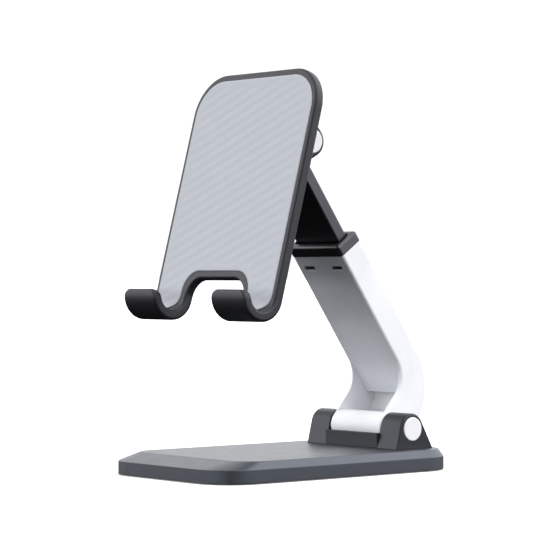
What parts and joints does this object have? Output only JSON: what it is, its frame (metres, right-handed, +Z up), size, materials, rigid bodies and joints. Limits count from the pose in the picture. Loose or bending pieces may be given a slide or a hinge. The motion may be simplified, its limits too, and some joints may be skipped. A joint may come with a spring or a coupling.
{
  "type": "phone stand",
  "caption": "Folding desk stand for a phone: weighted base, cranked telescopic arm on a hinge, and a tilting padded plate with two hooks.",
  "frame": {"origin": "on the desk, under the middle of the base", "axes": "+Z up, +X along both hinge pins to the user's right, the user is on the -Y side"},
  "size_m": [0.079, 0.1287, 0.1632],
  "materials": {
    "base_plastic": "fine-textured moulded plastic, dark grey",
    "steel": "rolled steel sheet",
    "screw_steel": "zinc-plated screw steel",
    "spring_steel": "polished spring steel",
    "foot_rubber": "soft matt anti-slip silicone, black",
    "hinge_plastic": "satin moulded plastic, dark grey",
    "nylon": "natural nylon",
    "cap_white": "smooth white plastic",
    "arm_white": "satin white shell",
    "cover_white": "satin white panel",
    "collar_plastic": "satin black plastic",
    "link_plastic": "satin black plastic",
    "plate_plastic": "fine-textured moulded plastic, dark grey",
    "bracket_plastic": "satin moulded plastic, dark grey",
    "pad_silicone": "soft light grey silicone with fine slanted ribs"
  },
  "bodies": {
    "base": {"base_shell": "base_plastic", "ballast_plate": "steel", "base_bottom_cover": "base_plastic", "bottom_cover_screws": "screw_steel", "foot_pad": "foot_rubber", "hinge_block": "hinge_plastic", "hinge_block_screws": "screw_steel", "lower_axle_bolt": "screw_steel", "lower_axle_nut": "screw_steel", "lower_disc_springs": "spring_steel", "lower_friction_washers": "nylon", "lower_end_caps": "cap_white"},
    "arm": {"arm_shell": "arm_white", "arm_front_cover": "cover_white", "sleeve_collar": "collar_plastic", "lower_bushings": "nylon"},
    "link": {"sliding_link": "link_plastic", "guide_shoe": "nylon", "shoe_pins": "screw_steel", "friction_spring": "spring_steel", "upper_bushings": "nylon"},
    "plate": {"phone_plate": "plate_plastic", "face_pad": "pad_silicone", "tilt_bracket": "bracket_plastic", "bracket_screws": "screw_steel", "upper_axle_bolt": "screw_steel", "upper_axle_nut": "screw_steel", "upper_disc_springs": "spring_steel", "upper_friction_washers": "nylon", "upper_end_caps": "cap_white"}
  },
  "joints": [
    {"name": "arm_lean", "type": "hinge", "parent": "base", "child": "arm", "pos_m": [0, 0.046, 0.0169], "axis": [1, 0, 0], "range_deg": [-25, 30]},
    {"name": "link_slide", "type": "slide", "parent": "arm", "child": "link", "axis": [0, -0.5759, 0.8175], "range_m": [-0.037, 0]},
    {"name": "plate_tilt", "type": "hinge", "parent": "link", "child": "plate", "pos_m": [0, -0.00642, 0.13422], "axis": [1, 0, 0], "range_deg": [-125, 50]}
  ]
}
